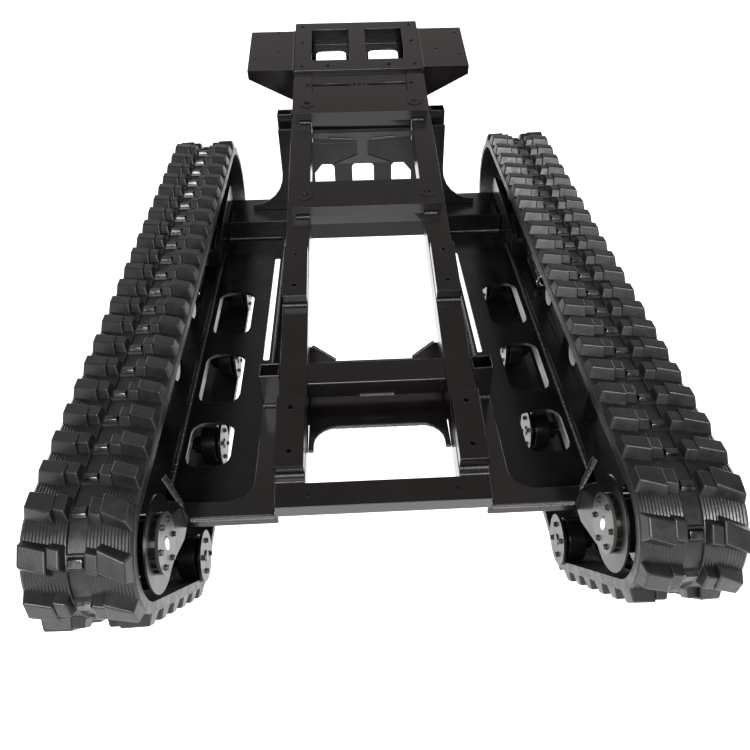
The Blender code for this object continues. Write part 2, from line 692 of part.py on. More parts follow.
def tensioner(name, side):
    """The grease cylinder that the yoke's rod slides in."""
    loops = [circle(side * TRACK_X, CYLINDER_Z, radius, 14) for radius in (CYLINDER_R, 0.0115)]
    return outline_solid(name, loops, 0.130, "XZ", (0, 0.060, 0), STEEL)


def pedestal(side, y):
    """The post on the beam that carries one carrier roller's axle."""
    base, top = BEAM_HIGH - BEAM_WALL / 2, CARRIER_Z + 0.017
    outline = [(y - 0.024, base), (y + 0.024, base), (y + 0.018, top), (y - 0.018, top)]
    loops = [outline, circle(y, CARRIER_Z, AXLE_R + 0.0015, 12)]
    return outline_solid("pedestal", loops, 2 * PLATE_HALF, "YZ", (side * TRACK_X, 0, 0))


def track_frame(name, side):
    """The box beam with a middle plate that carries the rollers' axles and a plate each side of the idler."""
    x = side * TRACK_X
    foot, top = ROLLER_Z - 0.019, BEAM_LOW + BEAM_WALL / 2
    start, end = NEAR_Y + 0.012, 0.362
    outline = [(start, top), (BOTTOM_ROLLER_YS[0] - 0.022, foot), (end, foot), (end, top)]
    axles = [circle(y, ROLLER_Z, AXLE_R + 0.0015, 12) for y in BOTTOM_ROLLER_YS]
    plate = outline_solid(name, [outline, *axles], 2 * PLATE_HALF, "YZ", (x, 0, 0))
    half, inner = FRAME_BEAM_HALF, FRAME_BEAM_HALF - BEAM_WALL
    tube = [rectangle(-half, BEAM_LOW, half, BEAM_HIGH),
            rectangle(-inner, BEAM_LOW + BEAM_WALL, inner, BEAM_HIGH - BEAM_WALL)]
    y0, y1 = NEAR_Y + 0.004, 0.366
    beam = outline_solid("beam", tube, y1 - y0, "XZ", (x, (y0 + y1) / 2, 0))
    frame = union(plate, beam, *[pedestal(side, y) for y in CARRIER_YS])
    offset = TRACK_X - NOSE_IN - NOSE_T / 2
    for s in (-1, 1):
        low = (x + s * offset - NOSE_T / 2, NOSE_Y0, BEAM_LOW + 0.044)
        high = (x + s * offset + NOSE_T / 2, 0.520, 0.334)
        frame = union(frame, box("nose", low, high))
    return frame


def build_track_units():
    for name, side in SIDES:
        track_frame("track_frame_" + name, side)
        rubber_track("rubber_track_" + name, side)
        sprocket("drive_sprocket_" + name, side)
        drive_motor("drive_motor_" + name, side)
        idler("idler_" + name, side)
        idler_yoke("idler_yoke_" + name, side)
        tensioner("track_tensioner_" + name, side)
        for i, y in enumerate(BOTTOM_ROLLER_YS, 1):
            bottom_roller(f"bottom_roller_{name}_{i}", side, y)
        for i, y in enumerate(CARRIER_YS, 1):
            carrier_roller(f"carrier_roller_{name}_{i}", side, y)


def finish_looks():
    """Gives every node its own copy of its material and shades its rounded faces smooth."""
    for obj in PARTS.objects:
        if obj.type != "MESH":
            continue
        own = obj.data.materials[0].copy()
        own.name = obj.name + "_" + obj.data.materials[0].name
        obj.data.materials[0] = own
        obj.data.shade_smooth()
        obj.data.set_sharp_from_angle(angle=SMOOTH_BELOW)


build_deck()
build_lower_frame()
build_track_units()
finish_looks()
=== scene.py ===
"""Looks of the tracked robot chassis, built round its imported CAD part.

Metres, +Z up, +Y from the drive end to the head end. The sloping deck has its own frame: X across,
u up the slope from the deck's drive-end edge, w out of its top face.
"""

import json
import math

import bmesh
import bpy
from mathutils import Matrix, Vector


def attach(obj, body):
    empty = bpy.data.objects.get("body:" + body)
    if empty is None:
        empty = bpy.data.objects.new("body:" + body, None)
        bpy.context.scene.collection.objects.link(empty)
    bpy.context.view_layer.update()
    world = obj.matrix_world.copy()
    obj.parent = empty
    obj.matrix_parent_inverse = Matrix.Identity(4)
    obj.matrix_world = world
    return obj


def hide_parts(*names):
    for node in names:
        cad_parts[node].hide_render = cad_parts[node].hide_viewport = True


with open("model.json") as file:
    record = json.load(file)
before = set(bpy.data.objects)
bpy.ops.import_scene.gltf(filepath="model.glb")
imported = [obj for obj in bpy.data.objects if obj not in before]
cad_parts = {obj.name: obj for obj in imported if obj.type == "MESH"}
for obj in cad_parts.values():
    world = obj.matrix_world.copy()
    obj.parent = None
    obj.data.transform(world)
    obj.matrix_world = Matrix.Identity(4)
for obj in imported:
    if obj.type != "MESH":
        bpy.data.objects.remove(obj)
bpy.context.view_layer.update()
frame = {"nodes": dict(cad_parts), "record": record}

# ---- driving dimensions, as the part has them ------------------------------------------------
SIDES = (("left", -1), ("right", 1))

TRACK_X, TRACK_HALF = 0.496, 0.090
LINK_PITCH, SPROCKET_TEETH = 0.072, 9
PITCH_TO_INNER, PITCH_TO_CARCASS, PITCH_TO_LUG = 0.005, 0.015, 0.037
GROOVE_HALF, GROOVE_DEPTH = 0.020, 0.0145
SPROCKET = (-0.930, 0.405)
SPROCKET_R = SPROCKET_TEETH * LINK_PITCH / (2 * math.pi)
IDLER, IDLER_R = (0.493, 0.380), 0.128
BOTTOM_YS, BOTTOM_Z, BOTTOM_R = (-0.727, -0.369, -0.011, 0.347), 0.092, 0.055
BOTTOM_DISC_X = TRACK_X - 0.0975
MOTOR_X, DRUM_X = 0.385, TRACK_X - 0.046

DECK_Y, DECK_Z, DECK_SLOPE = -0.824, 0.360, math.atan(0.2)
DECK_ROOT = "chassis"
FRAME_TOP, FLOOR_Z, NEAR_Y, FAR_BEAM_Y0 = 0.340, 0.280, -0.823, 0.378
RAIL_IN, RAIL_OUT = 0.152, 0.212
RAISED_TOP, HEAD_TOP = 0.030, 0.010
RAISED_US = (0.866, 1.310)  # near edges of the two raised cross members
PAD_US, PAD_HOLES = (0.073, 0.541), (0.036, 0.144)
WING_HOLES = ((0.338, 1.675), (0.338, 1.823), (0.267, 1.716), (0.267, 1.852))
BRIDGE_Y0, BRIDGE_Y1 = -0.5835, -0.351
POST_YS, POST_IN, POST_SIZE = (-0.508, 0.500), 0.2123, 0.045
UPRIGHT_Y = 0.457  # near face of the plate under the head end


# ---- materials --------------------------------------------------------------------------------
def new_material(name, roughness, metallic=0.0, specular=0.5):
    """A material with its shader and its node tree's helpers."""
    made = bpy.data.materials.new(name)
    made.use_nodes = True
    shader = made.node_tree.nodes["Principled BSDF"]
    shader.inputs["Roughness"].default_value = roughness
    shader.inputs["Metallic"].default_value = metallic
    shader.inputs["Specular IOR Level"].default_value = specular
    return made, shader


def add_node(made, kind, **inputs):
    node = made.node_tree.nodes.new(kind)
    for name, value in inputs.items():
        node.inputs[name.replace("_", " ")].default_value = value
    return node


def place_of(made):
    return add_node(made, "ShaderNodeTexCoord").outputs["Object"]


def noise_of(made, scale, detail=4.0, place=None):
    node = add_node(made, "ShaderNodeTexNoise", Scale=scale, Detail=detail)
    made.node_tree.links.new(place or place_of(made), node.inputs["Vector"])
    return node.outputs["Fac"]


def ramp_of(made, source, stops):
    """A colour ramp over source with stops of (position, colour)."""
    node = made.node_tree.nodes.new("ShaderNodeValToRGB")
    made.node_tree.links.new(source, node.inputs["Fac"])
    elements = node.color_ramp.elements
    while len(elements) < len(stops):
        elements.new(0.5)
    for element, (position, colour) in zip(elements, stops):
        element.position = position
        element.color = (*colour, 1.0)
    return node.outputs["Color"]


def spread_of(made, source, low, high):
    """Source's middle range mapped to low..high."""
    node = add_node(made, "ShaderNodeMapRange")
    node.inputs["From Min"].default_value = 0.3
    node.inputs["From Max"].default_value = 0.7
    node.inputs["To Min"].default_value = low
    node.inputs["To Max"].default_value = high
    made.node_tree.links.new(source, node.inputs["Value"])
    return node.outputs["Result"]


def add_bump(made, shader, height, distance, strength=1.0):
    bump = add_node(made, "ShaderNodeBump", Distance=distance, Strength=strength)
    made.node_tree.links.new(height, bump.inputs["Height"])
    made.node_tree.links.new(bump.outputs["Normal"], shader.inputs["Normal"])


def paint_material(name, dark, light, low, high, specular=0.5):
    """Glossy black paint: slightly uneven colour and gloss, and a faint orange peel."""
    made, shader = new_material(name, 0.3, specular=specular)
    link = made.node_tree.links.new
    link(ramp_of(made, noise_of(made, 7.0), [(0.30, dark), (0.75, light)]), shader.inputs["Base Color"])
    link(spread_of(made, noise_of(made, 14.0, 5.0), low, high), shader.inputs["Roughness"])
    add_bump(made, shader, noise_of(made, 110.0, 2.0), 0.0004, 0.15)
    return made


def rubber_material(name, dark, light, low, high):
    """Moulded rubber with a dusty, uneven surface."""
    made, shader = new_material(name, 0.5, specular=0.5)
    link = made.node_tree.links.new
    link(ramp_of(made, noise_of(made, 34.0, 6.0), [(0.30, dark), (0.72, light)]), shader.inputs["Base Color"])
    link(spread_of(made, noise_of(made, 60.0, 5.0), low, high), shader.inputs["Roughness"])
    add_bump(made, shader, noise_of(made, 220.0, 4.0), 0.0008, 0.25)
    return made


def metal_material(name, dark, light, low, high, scale=40.0):
    made, shader = new_material(name, 0.3, metallic=1.0)
    link = made.node_tree.links.new
    tone = ramp_of(made, noise_of(made, scale, 5.0), [(0.32, dark), (0.68, light)])
    link(tone, shader.inputs["Base Color"])
    link(spread_of(made, noise_of(made, scale * 2, 4.0), low, high), shader.inputs["Roughness"])
    add_bump(made, shader, noise_of(made, scale * 5, 3.0), 0.0004, 0.3)
    return made


PAINT = paint_material("gloss_black_paint", (0.0032, 0.0025, 0.0025), (0.0060, 0.0045, 0.0044),
                       0.15, 0.22)
DARK_PAINT = paint_material("floor_black_paint", (0.0022, 0.0021, 0.0023), (0.0045, 0.0043, 0.0045),
                            0.20, 0.32, 0.30)
WELD = paint_material("painted_weld", (0.020, 0.019, 0.020), (0.045, 0.042, 0.042), 0.10, 0.20, 0.8)
LUG_RUBBER = rubber_material("lug_rubber", (0.0045, 0.0042, 0.0045), (0.0120, 0.0112, 0.0120), 0.30, 0.46)
BELT_RUBBER = rubber_material("belt_rubber", (0.0035, 0.0035, 0.0038), (0.0085, 0.0082, 0.0085), 0.30, 0.48)
CORE_STEEL = metal_material("belt_core_steel", (0.05, 0.05, 0.05), (0.16, 0.16, 0.16), 0.18, 0.34)
BOLT_BLACK = metal_material("black_bolt", (0.03, 0.03, 0.032), (0.10, 0.10, 0.105), 0.22, 0.40)
BRIGHT_STEEL = metal_material("bright_steel", (0.55, 0.55, 0.54), (0.85, 0.85, 0.83), 0.12, 0.26)
FACE_PAINT = paint_material("motor_grey_paint", (0.020, 0.021, 0.018), (0.045, 0.045, 0.038), 0.25, 0.40)


# ---- pieces -----------------------------------------------------------------------------------
def on_deck(x, u, w):
    """A point of the sloping deck in the object's frame."""
    c, s = math.cos(DECK_SLOPE), math.sin(DECK_SLOPE)
    return Vector((x, DECK_Y + u * c - w * s, DECK_Z + u * s + w * c))


DECK_TURN = Matrix.Rotation(DECK_SLOPE, 3, "X")
DECK_UP = DECK_TURN @ Vector((0, 0, 1))


def show(name, mesh, look, body, smooth=None):
    """Puts a mesh in the scene on its body, smooth below the given angle between faces."""
    mesh.materials.clear()
    mesh.materials.append(look)
    if smooth is not None:
        mesh.shade_smooth()
        mesh.set_sharp_from_angle(angle=math.radians(smooth))
    piece = bpy.data.objects.new(name, mesh)
    bpy.context.scene.collection.objects.link(piece)
    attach(piece, body)
    return piece


def mesh_of(shape, name):
    bmesh.ops.recalc_face_normals(shape, faces=shape.faces)
    mesh = bpy.data.meshes.new(name)
    shape.to_mesh(mesh)
    shape.free()
    return mesh


def body_of(node):
    """The body that the record puts this node on."""
    for body, nodes in frame["record"]["behaviour"]["bodies"].items():
        if node in nodes:
            return body
    return DECK_ROOT


def softened(node, look, width=0.0016, segments=2):
    """Shows a CAD node with its edges rounded, in place of the sharp one."""
    shape = bmesh.new()
    shape.from_mesh(frame["nodes"][node].data)
    shape.transform(frame["nodes"][node].matrix_world)
    bmesh.ops.remove_doubles(shape, verts=shape.verts, dist=1e-5)
    bmesh.ops.dissolve_limit(shape, angle_limit=math.radians(1), verts=shape.verts, edges=shape.edges)
    piece = show(node + "_finish", mesh_of(shape, node + "_finish"), look, body_of(node), 40)
    bevel = piece.modifiers.new("edges", "BEVEL")
    bevel.width = width
    bevel.segments = segments
    bevel.limit_method = "ANGLE"
    bevel.angle_limit = math.radians(32)
    bevel.use_clamp_overlap = True
    bevel.harden_normals = True
    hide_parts(node)
    return piece


def add_ball(shape, centre, radii, turn=None, detail=6):
    """A small ellipsoid in shape."""
    place = Matrix.Translation(centre) @ (turn or Matrix.Identity(3)).to_4x4() @ Matrix.Diagonal((*radii, 1))
    bmesh.ops.create_uvsphere(shape, u_segments=detail + 2, v_segments=detail, radius=1, matrix=place)


def add_disc(shape, centre, axis, radius, height, sides=16, top=None):
    """A short cylinder or cone frustum that stands on centre along axis."""
    turn = Vector(axis).to_track_quat("Z", "Y").to_matrix().to_4x4()
    place = Matrix.Translation(Vector(centre) + Vector(axis) * height / 2) @ turn
    bmesh.ops.create_cone(shape, cap_ends=True, segments=sides, radius1=radius,
                          radius2=radius if top is None else top, depth=height, matrix=place)


def add_prism(shape, outline, y0, y1):
    """An outline of (x, z) made solid from y0 to y1."""
    near, far = ([shape.verts.new((x, y, z)) for x, z in outline] for y in (y0, y1))
    shape.faces.new(near)
    shape.faces.new(far)
    for i in range(len(outline)):
        j = (i + 1) % len(outline)
        shape.faces.new((near[i], near[j], far[j], far[i]))


def weld_bead(name, path, radius=0.0045, body=DECK_ROOT, step=0.0042):
    """A rippled bead along a chain of points."""
    shape = bmesh.new()
    for start, end in zip(path, path[1:]):
        along = end - start
        count = max(2, round(along.length / step))
        turn = along.normalized().to_track_quat("X", "Z").to_matrix()
        for i in range(count + 1):
            wobble = 1 + 0.10 * math.sin(2.3 * i) + 0.06 * math.sin(5.1 * i)
            add_ball(shape, start + along * i / count, (step * 0.95, radius * wobble, radius * wobble), turn)
    return show(name, mesh_of(shape, name), WELD, body, 60)


def add_screw(heads, socket_shades, centre, axis, radius=0.006, height=0.004):
    """A socket-head screw: its head in one mesh, and in the other a thin dark disc on its top, painted shade
    that stands in for the socket's hollow.
    """
    axis = Vector(axis)
    add_disc(heads, centre, axis, radius, height * 0.7, 18)
    add_disc(heads, centre + axis * height * 0.7, axis, radius, height * 0.3, 18, radius * 0.82)
    # the socket: a thin dark disc on the head, painted shade in place of a hollow
    add_disc(socket_shades, centre + axis * (height + 0.0001), axis, radius * 0.48, 0.0003, 6)


def add_hex_bolt(shape, centre, axis, across=0.010):
    """A hex head on its washer."""
    axis = Vector(axis)
    add_disc(shape, centre, axis, across * 0.72, across * 0.14, 20)
    add_disc(shape, centre + axis * across * 0.14, axis, across * 0.56, across * 0.44, 6)
    add_disc(shape, centre + axis * across * 0.58, axis, across * 0.52, across * 0.08, 6, across * 0.40)


# ---- the belt's path, as the part has it --------------------------------------------------------
def track_path(offset):
    """Segments of the belt's path at that offset from the pitch line: lines and arcs in (Y, Z)."""
    wheels = [(*SPROCKET, SPROCKET_R), (*IDLER, IDLER_R),
              (BOTTOM_YS[-1], BOTTOM_Z, BOTTOM_R), (BOTTOM_YS[0], BOTTOM_Z, BOTTOM_R)]
    normals = []
    for (ya, za, ra), (yb, zb, rb) in zip(wheels, wheels[1:] + wheels[:1]):
        along = Vector((yb - ya, zb - za))
        a = (ra - rb) / along.length
        along.normalize()
        normals.append(a * along + math.sqrt(1 - a * a) * Vector((-along.y, along.x)))
    segments = []
    for i, (y, z, r) in enumerate(wheels):
        before, after = normals[i - 1], normals[i]
        start = math.atan2(before.y, before.x)
        turn = (start - math.atan2(after.y, after.x)) % (2 * math.pi)
        segments.append(("arc", Vector((y, z)), r + offset, start, turn, r))
        y2, z2, r2 = wheels[(i + 1) % 4]
        first = Vector((y, z)) + after * (r + offset)
        last = Vector((y2, z2)) + after * (r2 + offset)
        segments.append(("line", first, last, after, (last - first).length, None))
    return segments


SEGMENTS = track_path(0)
LENGTH = sum(s[4] * s[5] if s[0] == "arc" else s[4] for s in SEGMENTS)
LINKS = round(LENGTH / LINK_PITCH)
PITCH = LENGTH / LINKS
FIRST_LINK = ((SEGMENTS[0][3] - math.pi) % (2 * math.pi)) * SPROCKET_R


def path_point(distance, offset):
    """(Y, Z) at that distance along the pitch line, moved out by offset."""
    distance %= LENGTH
    for kind, a, b, c, d, r in SEGMENTS:
        length = d * r if kind == "arc" else d
        if distance > length:
            distance -= length
            continue
        if kind == "line":
            return a + (b - a) * (distance / length) + c * offset
        angle = c - distance / r
        return a + Vector((math.cos(angle), math.sin(angle))) * (r + offset)
    return path_point(0, offset)


def belt_point(side, across, distance, offset):
    y, z = path_point(distance, offset)
    return Vector((side * TRACK_X + across, y, z))


# ---- rubber tracks ------------------------------------------------------------------------------
LUG_ROOT = PITCH_TO_CARCASS - 0.003  # lugs start a little inside the carcass
BLOCK_TOP = 0.0335  # the small blocks beside the centre are a little lower than the lugs
BASE_HALF, TOP_HALF = 0.0240, 0.0140  # a lug's half lengths along the belt, at its foot and on top
RIB_STEP, RIB_HEIGHT = 0.0028, 0.0011  # half the spacing of the fine ribs in the valleys, and their height
CORE_HALF = 0.0155  # half width of the bare centre strip


def add_block(shape, side, middle, outline, lean, root, top, shrink):
    """A tapered block on the belt. Outline gives (across, shift along, half length) where it starts and ends.

    The block's top leans back by lean, and its two ends are drawn in by shrink."""
    (a0, t0, h0), (a1, t1, h1) = outline
    step = math.copysign(1, a1 - a0)
    rows = []
    foot, crown = (root, 1.0, 0, 0, 0), (top, TOP_HALF / BASE_HALF, *shrink, lean)
    for offset, scale, inset0, inset1, back in (foot, crown):
        row = []
        for a, t, h, sign in ((a0 + step * inset0, t0, h0, -1), (a1 - step * inset1, t1, h1, -1),
                              (a1 - step * inset1, t1, h1, 1), (a0 + step * inset0, t0, h0, 1)):
            row.append(shape.verts.new(belt_point(side, a, middle + t + back + sign * h * scale, offset)))
        rows.append(row)
    low, high = rows
    shape.faces.new(low)
    shape.faces.new(high)
    for i in range(4):
        shape.faces.new((low[i], low[(i + 1) % 4], high[(i + 1) % 4], high[i]))


def tread_blocks(side, name):
    """Every lug and small block of one belt."""
    shape = bmesh.new()
    edge = TRACK_HALF - 0.001
    for i in range(LINKS):
        middle = FIRST_LINK + i * PITCH
        full, short = BASE_HALF, BASE_HALF * 0.88
        add_block(shape, side, middle, ((-edge, 0.014, full * 0.94), (-0.038, 0.004, full)), 0.001,
                  LUG_ROOT, PITCH_TO_LUG, (0.006, 0.001))
        add_block(shape, side, middle, ((-0.040, 0.010, short), (-CORE_HALF, 0.006, short)), 0.001,
                  LUG_ROOT, BLOCK_TOP, (0.0, 0.004))
        add_block(shape, side, middle, ((CORE_HALF, 0.002, short), (0.040, -0.002, short)), 0.001,
                  LUG_ROOT, BLOCK_TOP, (0.004, 0.0))
        add_block(shape, side, middle, ((0.038, 0.004, full), (edge, -0.012, full * 0.94)), 0.001,
                  LUG_ROOT, PITCH_TO_LUG, (0.001, 0.006))
    piece = show(name, mesh_of(shape, name), LUG_RUBBER, DECK_ROOT, 40)
    bevel = piece.modifiers.new("moulded_edges", "BEVEL")
    bevel.width = 0.0032
    bevel.segments = 3
    bevel.limit_method = "ANGLE"
    bevel.angle_limit = math.radians(30)
    bevel.harden_normals = True
    return piece


def carcass(side, name):
    """The belt under the lugs: edge beads, a sunk pocket in every link and the groove for the teeth."""
    shape = bmesh.new()
    edge, bead, rim = TRACK_HALF, TRACK_HALF - 0.003, CORE_HALF - 0.0015
    surface, sunk, inner, roof = PITCH_TO_CARCASS, 0.0105, -PITCH_TO_INNER, GROOVE_DEPTH - PITCH_TO_INNER
    count = round((bead - CORE_HALF) / RIB_STEP)
    ribbed = [(CORE_HALF + (bead - CORE_HALF) * i / count, surface + RIB_HEIGHT * (i % 2), 0)
              for i in range(count + 1)]
    profile = [(-edge, surface - 0.003, 0), *((-a, b, c) for a, b, c in reversed(ribbed)), (-rim, sunk, 1),
               (rim, sunk, 1), *ribbed, (edge, surface - 0.003, 0),
               (edge, inner, 0), (GROOVE_HALF, inner, 0), (GROOVE_HALF, roof, 0), (-GROOVE_HALF, roof, 0),
               (-GROOVE_HALF, inner, 0), (-edge, inner, 0)]
    # each link is flat over its core, then sunk between it and the next
    stations = ((0.00, 0), (0.16, 0), (0.19, 1), (0.40, 1), (0.60, 1), (0.81, 1), (0.84, 0))
    rings = []
    for i in range(LINKS):
        for part, is_pocket in stations:
            distance = FIRST_LINK + (i + part) * PITCH
            ring = []
            for across, offset, pocket in profile:
                height = surface if pocket and not is_pocket else offset
                ring.append(shape.verts.new(belt_point(side, across, distance, height)))
            rings.append(ring)
    for first, second in zip(rings, rings[1:] + rings[:1]):
        for j in range(len(profile)):
            k = (j + 1) % len(profile)
            shape.faces.new((first[j], second[j], second[k], first[k]))
    return show(name, mesh_of(shape, name), BELT_RUBBER, DECK_ROOT, 35)


def core_bars(side, name):
    """The bare top of every metal core in the middle of the belt."""
    shape = bmesh.new()
    for i in range(LINKS):
        middle = FIRST_LINK + i * PITCH
        half = CORE_HALF - 0.002
        add_block(shape, side, middle, ((-half, 0, 0.0095), (half, 0, 0.0095)), 0.0, PITCH_TO_CARCASS - 0.002,
                  PITCH_TO_CARCASS + 0.006, (0.002, 0.002))
    piece = show(name, mesh_of(shape, name), CORE_STEEL, DECK_ROOT, 40)
    bevel = piece.modifiers.new("worn_edges", "BEVEL")
    bevel.width = 0.0012
    bevel.segments = 2
    bevel.limit_method = "ANGLE"
    return piece


def build_track(name, side):
    belt = carcass(side, f"belt_carcass_{name}")
    lugs = tread_blocks(side, f"belt_lugs_{name}")
    cores = core_bars(side, f"belt_cores_{name}")
    for piece in (belt, lugs, cores):
        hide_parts(f"rubber_track_{name}")


# ---- drive units and rollers ----------------------------------------------------------------------
def drive_unit(name, side):
    """The motor from inboard: a small face plate with its bolts, a ribbed body and a thin rim round it."""
    outward = Vector((side, 0, 0))
    face = Vector((side * MOTOR_X, *SPROCKET))
    plate, body, rim, bolts, plug = (bmesh.new() for _ in range(5))
    add_disc(plate, face, outward, 0.0550, 0.006, 40, 0.0535)
    add_disc(body, face + outward * 0.005, outward, 0.0480, DRUM_X - MOTOR_X - 0.007, 32)
    for i in range(18):
        angle = i * math.tau / 18
        spot = face + outward * 0.031 + Vector((0, 0.050 * math.cos(angle), 0.050 * math.sin(angle)))
        turn = Matrix.Rotation(angle, 4, "X")
        place = Matrix.Translation(spot) @ turn @ Matrix.Diagonal((0.050, 0.008, 0.006, 1))
        bmesh.ops.create_cube(body, size=1, matrix=place)
    add_disc(rim, face + outward * 0.0115, outward, 0.0870, 0.004, 56)
    for i in range(6):
        angle = (i + 0.5) * math.tau / 6
        spot = face + Vector((0, 0.042 * math.cos(angle), 0.042 * math.sin(angle)))
        add_hex_bolt(bolts, spot, -outward, 0.0085)
    add_ball(plug, face, (0.0022, 0.0095, 0.0160), detail=14)
    for shape, title, look in ((plate, "motor_face", FACE_PAINT), (body, "motor_body", PAINT),
                               (rim, "motor_rim", DARK_PAINT), (bolts, "motor_bolts", BOLT_BLACK),
                               (plug, "motor_plug", BRIGHT_STEEL)):
        piece = show(f"{title}_{name}", mesh_of(shape, title), look, DECK_ROOT, 35)
        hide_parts(f"drive_motor_{name}")


def roller_details(name, side):
    """Bolts on the inboard disc of every bottom roller."""
    inward = Vector((-side, 0, 0))
    for i, y in enumerate(BOTTOM_YS, 1):
        shape = bmesh.new()
        centre = Vector((side * BOTTOM_DISC_X, y, BOTTOM_Z))
        for j in range(4):
            angle = (j + 0.5) * math.tau / 4
            spot = centre + Vector((0, 0.034 * math.cos(angle), 0.034 * math.sin(angle)))
            add_hex_bolt(shape, spot, inward, 0.0095)
        add_disc(shape, centre, inward, 0.014, 0.003, 24, 0.012)
        show(f"roller_bolts_{name}_{i}", mesh_of(shape, "bolts"), BOLT_BLACK, f"bottom_roller_{name}_{i}", 35)


def sprocket_details(name, side):
    """Bolts on the inboard face of the drum."""
    shape = bmesh.new()
    inward = Vector((-side, 0, 0))
    centre = Vector((side * (TRACK_X - 0.046), *SPROCKET))
    for j in range(9):
        angle = j * math.tau / 9
        spot = centre + Vector((0, 0.074 * math.cos(angle), 0.074 * math.sin(angle)))
        add_hex_bolt(shape, spot, inward, 0.009)
    show(f"drum_bolts_{name}", mesh_of(shape, "bolts"), BOLT_BLACK, f"drive_sprocket_{name}", 35)


# ---- deck details -----------------------------------------------------------------------------------
def tab_plates():
    """The six-sided tab and screw over each rail on the raised cross members."""
    plates, heads, socket_shades = bmesh.new(), bmesh.new(), bmesh.new()
    for u in RAISED_US:
        for _, side in SIDES:
            centre = on_deck(side * 0.163, u + 0.055, RAISED_TOP)
            add_disc(plates, centre, DECK_UP, 0.0255, 0.004, 6, 0.0235)
            add_screw(heads, socket_shades, centre + DECK_UP * 0.004, DECK_UP, 0.0085, 0.004)
    show("tab_plates", mesh_of(plates, "tabs"), PAINT, DECK_ROOT, 30)
    show("tab_screws", mesh_of(heads, "screws"), BOLT_BLACK, DECK_ROOT, 35)
    # the screws' sockets are thin dark discs, painted shade in place of hollows
    show("tab_socket_shades", mesh_of(socket_shades, "socket_shades"), DARK_PAINT, DECK_ROOT, 35)


RIM_HEIGHT = 0.0005


def hole_rims():
    """The bright lip round each of the deck's small holes."""
    shape = bmesh.new()
    spots = [(side * (RAIL_IN + RAIL_OUT) / 2, u + d, RAISED_TOP, 0.0055)
             for _, side in SIDES for u in PAD_US for d in PAD_HOLES]
    spots += [(side * 0.145, 0.027, 0, 0.0045) for _, side in SIDES]
    spots += [(side * a, b, HEAD_TOP, 0.005) for _, side in SIDES for a, b in WING_HOLES]
    for x, u, w, radius in spots:
        centre = on_deck(x, u, w)
        rings = []
        for scale, h in ((0.98, 0), (1.25, 0), (1.20, RIM_HEIGHT), (1.01, RIM_HEIGHT)):
            r = radius * scale
            turns = [math.tau * k / 16 for k in range(16)]
            ring = [centre + DECK_TURN @ Vector((r * math.cos(t), r * math.sin(t), h)) for t in turns]
            rings.append([shape.verts.new(point) for point in ring])
        for a, b in zip(rings, rings[1:] + rings[:1]):
            for k in range(16):
                shape.faces.new((a[k], a[(k + 1) % 16], b[(k + 1) % 16], b[k]))
    show("hole_rims", mesh_of(shape, "rims"), BOLT_BLACK, DECK_ROOT, 35)
    # dark nuts under the near cross member's two holes: their dark tops, seen through the holes, are painted
    # shade in place of the white floor below
    hole_shade_nuts = bmesh.new()
    for _, side in SIDES:
        add_disc(hole_shade_nuts, on_deck(side * 0.145, 0.027, -0.013), DECK_UP, 0.0085, 0.0075, 6)
    show("cross_member_hole_shade_nuts", mesh_of(hole_shade_nuts, "hole_shade_nuts"), DARK_PAINT, DECK_ROOT, 35)


def deck_fasteners():
    """Screws on the rails beside the slotted plate and head box, and small bolts on the slotted plate."""
    heads, socket_shades = bmesh.new(), bmesh.new()
    for _, side in SIDES:
        for x, u in ((0.182, 1.450), (0.166, 1.527)):
            add_screw(heads, socket_shades, on_deck(side * x, u, 0), DECK_UP, 0.0060, 0.003)
        for u in (1.625, 1.780, 1.895):
            add_screw(heads, socket_shades, on_deck(side * 0.186, u, HEAD_TOP), DECK_UP, 0.0055, 0.003)
        add_screw(heads, socket_shades, on_deck(side * 0.100, 1.626, HEAD_TOP), DECK_UP, 0.0055, 0.003)
    for x in (-0.018, 0.0, 0.018):
        add_screw(heads, socket_shades, on_deck(x, 1.527, -0.001), DECK_UP, 0.005, 0.003)
    show("deck_screws", mesh_of(heads, "screws"), BOLT_BLACK, DECK_ROOT, 35)
    # the screws' sockets are thin dark discs, painted shade in place of hollows
    show("deck_socket_shades", mesh_of(socket_shades, "socket_shades"), DARK_PAINT, DECK_ROOT, 35)


def upright_rib():
    """The T-shaped rib on the plate under the head end, with a bead along its top bar."""
    shape = bmesh.new()
    right = [(0.087, 0.490), (0.016, 0.516), (0.016, 0.562), (0.160, 0.572), (0.160, 0.586)]
    add_prism(shape, right + [(-x, z) for x, z in reversed(right)], UPRIGHT_Y - 0.004, UPRIGHT_Y + 0.001)
    show("upright_rib", mesh_of(shape, "rib"), PAINT, DECK_ROOT, 30)
    panel = bmesh.new()
    half = RAIL_IN - 0.0006
    outline = [(-half, 0.500), (half, 0.500), (half, 0.594), (-half, 0.594)]
    add_prism(panel, outline, UPRIGHT_Y + 0.0015, UPRIGHT_Y + 0.0075)
    show("upright_panel", mesh_of(panel, "panel"), DARK_PAINT, DECK_ROOT, 30)
    for name, side in SIDES:
        bar = [Vector((side * x, UPRIGHT_Y - 0.005, z)) for x, z in ((0.030, 0.566), (0.100, 0.571))]
        weld_bead(f"rib_weld_{name}", bar, 0.0045)


